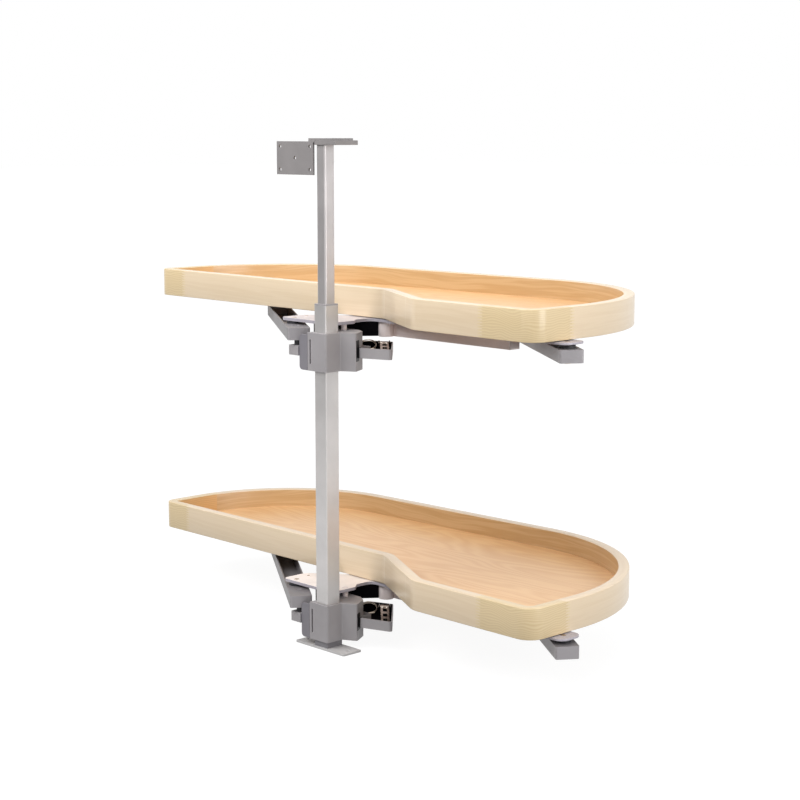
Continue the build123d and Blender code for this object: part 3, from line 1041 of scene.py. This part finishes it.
@dataclass
class Hardware:
    """The metal and plastic pieces of one tier, with places in millimetres."""

    tier: Tier
    softener: EdgeSoftener
    closer_middle: Pair = (18.0, 82.0)
    closer_floor: float = 38.5
    floor_cosine: float = 0.9
    wall_tilt: float = 0.3
    plate_gap: float = 1.25
    screw_places: Marks = ((-104.9, 52.0), (-58.0, 70.0))
    catch_place: Pair = (16.0, 100.0)
    catch_turn: float = -42.0
    catch_lean: float = 7.0
    catch_below_tray: float = 35.8
    screw_size: Pair = (2.2, 0.9)
    rivet_places: tuple[Triple, ...] = ((4.5, -3.4, 0.8), (4.5, 3.4, 0.8))
    rivet_size: Pair = (1.7, 1.1)

    def clamp_body(self) -> str:
        """Body that the tier's clamp belongs to."""
        return "post" if self.tier is Tier.LOWER else "upper_clamp"

    def rows(self) -> list[tuple[str, str, str]]:
        """Pieces that get soft edges.

        Returns:
            Node, body and finish of each.
        """
        named, clamp = self.tier.named, self.clamp_body()
        carrier = named("carrier")
        return [
            ("clamp", clamp, "cast"),
            ("clamp_bracket", clamp, "cast"),
            ("soft_close_housing", clamp, "cast"),
            ("swivel_plate", carrier, "edge"),
            # the hub shell is near-black: painted shade of the hollow behind the post
            ("hub_shell", carrier, "pitch"),
            ("support_rail", carrier, "rail"),
            ("end_plate", carrier, "edge"),
            ("inner_arm", named("inner_arm"), "arm"),
            ("outer_arm", named("outer_arm"), "arm"),
            ("tray_pads", named("tray"), "foot"),
            ("catch", named("catch"), "steel"),
        ]

    def inside_closer(self, centre: Vector, normal: Vector) -> bool:
        """Whether a face of the soft-close unit looks into its hollow, where painted shade goes.

        Args:
            centre: Middle of the face in metres.
            normal: Its direction.

        Returns:
            True for the floor's top and the walls' inner faces.
        """
        if normal.z > self.floor_cosine:
            return centre.z / MM < self.tier.tray_bottom() - self.closer_floor
        middle = Vector((self.closer_middle[0] * MM, self.closer_middle[1] * MM, centre.z))
        return abs(normal.z) < self.wall_tilt and normal.dot(middle - centre) > 0.0

    def dress(self, metals: Finishes) -> None:
        """Round the visible edges and finish every piece.

        Args:
            metals: Materials by name.
        """
        # painted light: the swivel plate's top faces get a bright copy of the plate grey on the
        # lower tier and a dimmer, shaded copy on the upper tier
        painted_plate_top = "plate" if self.tier is Tier.LOWER else "upper_plate"
        # painted shade: the arms' top faces and the inner arm's left faces get darker copies of
        # the arm grey
        arm_top_painted_shade = PaintedLightFaces(metals["arm_top_painted_shade"], faces_up)
        painted_light = {
            "swivel_plate": (PaintedLightFaces(metals[painted_plate_top], faces_up),),
            # painted shade: the cheek faces get a darker copy of the cast grey
            "clamp_bracket": (PaintedLightFaces(metals["cheek"], faces_of_cheek),),
            "inner_arm": (arm_top_painted_shade, PaintedLightFaces(metals["arm_side_painted_shade"], faces_left)),
            "outer_arm": (arm_top_painted_shade,),
            # painted shade: near-black on the faces that look into the soft-close unit's hollow
            "soft_close_housing": (PaintedLightFaces(metals["pitch"], self.inside_closer),),
        }
        for node, body, paint in self.rows():
            name = self.tier.named(node)
            self.softener.copy(name, metals[paint], body, *painted_light.get(node, ()))
        plain = {
            "inner_arm_bushes": "black",
            "outer_arm_bushes": "black",
            "arm_pins": "steel",
            "tray_pins": "steel",
            "main_pivot": "rail",
            "arm_rest": "black",
        }
        for node, paint in plain.items():
            finish(self.tier.named(node), metals[paint])
        CloserSpring(self.tier).build(metals["wire"], self.clamp_body())
        self._screws(metals["steel"])
        self._rivets(metals["bright"])

    def _screws(self, steel: Material) -> None:
        """Fasteners that show on the carrier's plate.

        Args:
            steel: Finish of the screws.
        """
        top = self.tier.tray_bottom() - self.plate_gap
        points = [(x, y, top) for x, y in self.screw_places]
        heads = Heads(self.tier.named("plate_screws"), *self.screw_size, points, UPWARDS)
        heads.build(steel, self.tier.named("carrier"))

    def _rivets(self, steel: Material) -> None:
        """Two bright rivet heads at the catch's upper end.

        Args:
            steel: Finish of the rivets.
        """
        turn = Matrix.Rotation(math.radians(self.catch_turn), 3, "Z")
        place = turn @ Matrix.Rotation(math.radians(self.catch_lean), 3, "Y")
        start = Vector((*self.catch_place, self.tier.tray_bottom() - self.catch_below_tray))
        points = [tuple(start + place @ Vector(rivet)) for rivet in self.rivet_places]
        normal = tuple(place @ Vector(UPWARDS))
        heads = Heads(self.tier.named("catch_rivets"), *self.rivet_size, points, normal, False)
        heads.build(steel, self.tier.named("catch"))


@dataclass
class Post:
    """Telescopic post with its foot, cap and bracket."""

    softener: EdgeSoftener

    def dress(self, metals: Finishes) -> None:
        """Finish the post's pieces.

        Args:
            metals: Materials by name.
        """
        rows = (
            ("outer_tube", "tube", "post"),
            ("base_plate", "base", "post"),
            ("inner_tube", "inner_tube", "top_post"),
            ("top_cap", "bracket", "top_post"),
            ("top_bracket", "bracket", "top_post"),
        )
        for node, paint, body in rows:
            self.softener.copy(node, metals[paint], body)
        finish("post_foot", metals["foot"])
        finish("guide_bush", metals["cast"])


@dataclass
class Studio:
    """Camera, floor, lamps and world, in metres and watts."""

    camera_place: Triple = (1.9454, -1.7051, 0.7607)
    camera_turn: float = 46.4
    camera_tilt: float = 8.555
    lens: float = 80.59
    sensor: float = 36.0
    floor_half: float = 30.0
    floor_tone: float = 0.1
    floor_glow: float = 0.92
    flag_near: Pair = (-2.3, -1.3)
    flag_far: Pair = (-1.2, -2.3)
    flag_top: float = 1.7
    flag_tone: float = 0.05
    sky: float = 0.38
    aim: Triple = (0.0, 0.2, 0.35)
    lamps: tuple[tuple[str, Triple, float, float], ...] = (
        ("side", (2.3, 0.5, 0.95), 1.5, 31.0),
        ("front", (-0.55, -1.25, 1.6), 1.3, 29.0),
        ("key", (1.0, -1.3, 1.5), 1.1, 9.0),
        ("top", (0.1, 0.1, 2.5), 1.8, 16.0),
    )

    def build(self) -> None:
        """Set up everything that isn't the object."""
        self._camera()
        self._floor()
        self._world()
        self._flag()
        self._lights()
        bpy.context.scene.view_settings.view_transform = "Standard"

    def _camera(self) -> None:
        """Camera at the photograph's angle."""
        data = bpy.data.cameras.new("view")
        data.lens = self.lens
        data.sensor_width = self.sensor
        camera = link("view", data)
        camera.location = self.camera_place
        tilt, turn = math.radians(90.0 - self.camera_tilt), math.radians(self.camera_turn)
        camera.rotation_euler = (tilt, 0.0, turn)
        bpy.context.scene.camera = camera

    @staticmethod
    def _card(name: str, corners: list[Triple], tone: float) -> tuple[Piece, Shader]:
        """Matt four-cornered card.

        Args:
            name: Name of the card and its finish.
            corners: Its corners.
            tone: Its linear grey.

        Returns:
            The card and its material under construction.
        """
        mesh = bpy.data.meshes.new(name)
        mesh.from_pydata(corners, [], [(0, 1, 2, 3)])
        card = link(name, mesh)
        shader = Shader(name)
        shader.put("Base Color", (tone, tone, tone, 1.0))
        shader.put("Roughness", 0.9)
        mesh.materials.append(shader.material)
        return card, shader

    def _floor(self) -> None:
        """Pale floor that shows white and keeps the object's shadow."""
        half = self.floor_half
        quarters = ((-half, -half), (half, -half), (half, half), (-half, half))
        corners = [(*place, 0.0) for place in quarters]
        floor, shader = self._card("floor", corners, self.floor_tone)
        strength = shader.math("MULTIPLY", shader.seen(), self.floor_glow)
        glow = shader.add("ShaderNodeEmission", {"Color": WHITE, "Strength": strength})
        both = {0: shader.surface.outputs["BSDF"], 1: glow["Emission"]}
        shader.show(shader.add("ShaderNodeAddShader", both)["Shader"])

    def _flag(self) -> None:
        """Dark upright card that only the metal's left faces show."""
        near, far, top = self.flag_near, self.flag_far, self.flag_top
        corners = [(*near, 0.0), (*far, 0.0), (*far, top), (*near, top)]
        flag, shader = self._card("flag", corners, self.flag_tone)
        choice = {
            0: shader.add("ShaderNodeLightPath")["Is Camera Ray"],
            1: shader.surface.outputs["BSDF"],
            2: shader.add("ShaderNodeBsdfTransparent")["BSDF"],
        }
        shader.show(shader.add("ShaderNodeMixShader", choice)["Shader"])

    def _world(self) -> None:
        """White to the camera, soft grey light to the object."""
        world = bpy.data.worlds.new("studio")
        bpy.context.scene.world = world
        world.use_nodes = True
        network = Network(world.node_tree)
        background = network.tree.nodes["Background"].inputs
        levels = {"Value": network.seen(), "To Min": self.sky, "To Max": 1.0}
        strength = network.add("ShaderNodeMapRange", levels)["Result"]
        network.fill(background["Color"], WHITE)
        network.fill(background["Strength"], strength)

    def _lights(self) -> None:
        """Soft square lamps that point at the object's middle."""
        for name, place, size, power in self.lamps:
            data = bpy.data.lights.new(name, "AREA")
            data.size = size
            data.energy = power
            lamp = link(name, data)
            lamp.location = place
            aim = Vector(self.aim) - Vector(place)
            lamp.rotation_euler = aim.to_track_quat("-Z", "Y").to_euler()


def timbers() -> Finishes:
    """Every wood of the trays.

    Returns:
        Materials by name.
    """
    straight, curly = Grain.STRAIGHT_BOARD, Grain.CURLY_BOARD
    rim, corner = (232, 211, 181), (228, 206, 162)
    rows = {
        "rim": ((236, 216, 187), (224, 201, 168), straight, 0.28, 0.3, corner),
        # the inside rows are painted shade: darker, warmer copies of the rim and corner maple
        # for the tray's inner walls
        "rim_inside": ((212, 180, 136), (190, 152, 102), straight, 0.42, 0.5),
        "corner": ((233, 212, 170), (217, 192, 148), curly, 0.55, 1.7, rim, 3.0),
        "corner_inside": ((222, 182, 124), (200, 154, 96), curly, 0.4, 0.5, None, 3.0),
        "floor": ((248, 208, 156), (230, 181, 127), Grain.PANEL, 0.4, 0.15, None, 7.0, 0.3),
    }
    return {
        key: MapleFinish("maple " + key.replace("_", " "), *row).build()
        for key, row in rows.items()
    }


def metals() -> Finishes:
    """Every paint, steel and plastic of the hardware.

    Returns:
        Materials by name.
    """
    # boxes of painted shadow on the clamp's wings, where the gaps lie in shade
    wing_painted_shadows = (
        ((31.5, 24.6, 429.0), (37.6, 36.0, 460.0)),
        ((31.5, 24.6, 27.0), (37.6, 36.0, 53.0)),
    )
    finishes = {
        "tube": PaintFinish("silver tube", (200, 197, 196), 0.34, 0.6, 0.05),
        "inner_tube": PaintFinish("silver inner tube", (184, 180, 180), 0.34, 0.6, 0.05),
        # painted light on the swivel plate's top faces, bright below and shaded above
        "plate": PaintFinish("plate top, painted light", (244, 236, 232), 0.34, 0.0),
        "upper_plate": PaintFinish("shaded plate", (208, 201, 205), 0.34, 0.0),
        "base": PaintFinish("base plate", (196, 194, 194), 0.36, 0.1),
        "rail": PaintFinish("grey rail", (238, 226, 224), 0.4, 0.1),
        "edge": PaintFinish("grey plate edge", (180, 175, 184), 0.4, 0.1),
        "arm": PaintFinish("grey arm", (158, 154, 157), 0.42, 0.1),
        # darker copy of the arm grey, painted shade on the arms' top faces
        "arm_top_painted_shade": PaintFinish("grey arm top, painted shade", (122, 118, 120), 0.4, 0.1),
        "cast": PaintFinish("grey cast clamp", (160, 156, 158), 0.46, 0.1, painted_shadow_slots=wing_painted_shadows),
        # darker copy of the arm grey, painted shade on the inner arm's left faces
        "arm_side_painted_shade": PaintFinish("grey arm side, painted shade", (108, 105, 107), 0.42, 0.1),
        # darker copy of the cast grey, painted shade on the clamp's cheek
        "cheek": PaintFinish("grey cheek, painted shade", (128, 125, 131), 0.46, 0.1),
        "bracket": PaintFinish("grey bracket", (136, 132, 132), 0.46, 0.1),
        "steel": SteelFinish("plated steel", (186, 172, 160)),
        "bright": SteelFinish("bright rivet", (236, 230, 222), 0.2),
        "wire": SteelFinish("spring wire", (200, 188, 174), 0.3, (60.0, 60.0, 60.0)),
        "black": PlasticFinish("black plastic", (22, 21, 26)),
        # near-black painted shade for the hollow behind the post and inside the soft-close unit
        "pitch": PlasticFinish("painted shade of the hollow", (3, 2, 5), 0.65, 0.06),
        "foot": PaintFinish("grey foot", (120, 118, 122), 0.45, 0.2),
    }
    return {name: metal.build() for name, metal in finishes.items()}


def main() -> None:
    """Dress the carousel and set up the studio."""
    logging.basicConfig(level=logging.INFO, format="%(message)s")
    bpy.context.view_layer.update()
    woods, paints = timbers(), metals()
    softener = EdgeSoftener()
    for tier in Tier:
        boards = Tray(tier).dress(woods)
        LOG.info("%s tray: %d boards", tier.value, len(boards))
        Hardware(tier, softener).dress(paints)
        LOG.info("%s hardware dressed", tier.value)
    Post(softener).dress(paints)
    LOG.info("post dressed")
    Studio().build()


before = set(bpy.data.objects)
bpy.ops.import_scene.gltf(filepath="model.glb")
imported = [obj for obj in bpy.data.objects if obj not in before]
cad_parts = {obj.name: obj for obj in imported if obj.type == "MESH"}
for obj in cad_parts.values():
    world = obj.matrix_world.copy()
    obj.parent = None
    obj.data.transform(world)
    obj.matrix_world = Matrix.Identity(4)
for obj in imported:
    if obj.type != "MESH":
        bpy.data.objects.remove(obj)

if __name__ == "__main__":
    main()
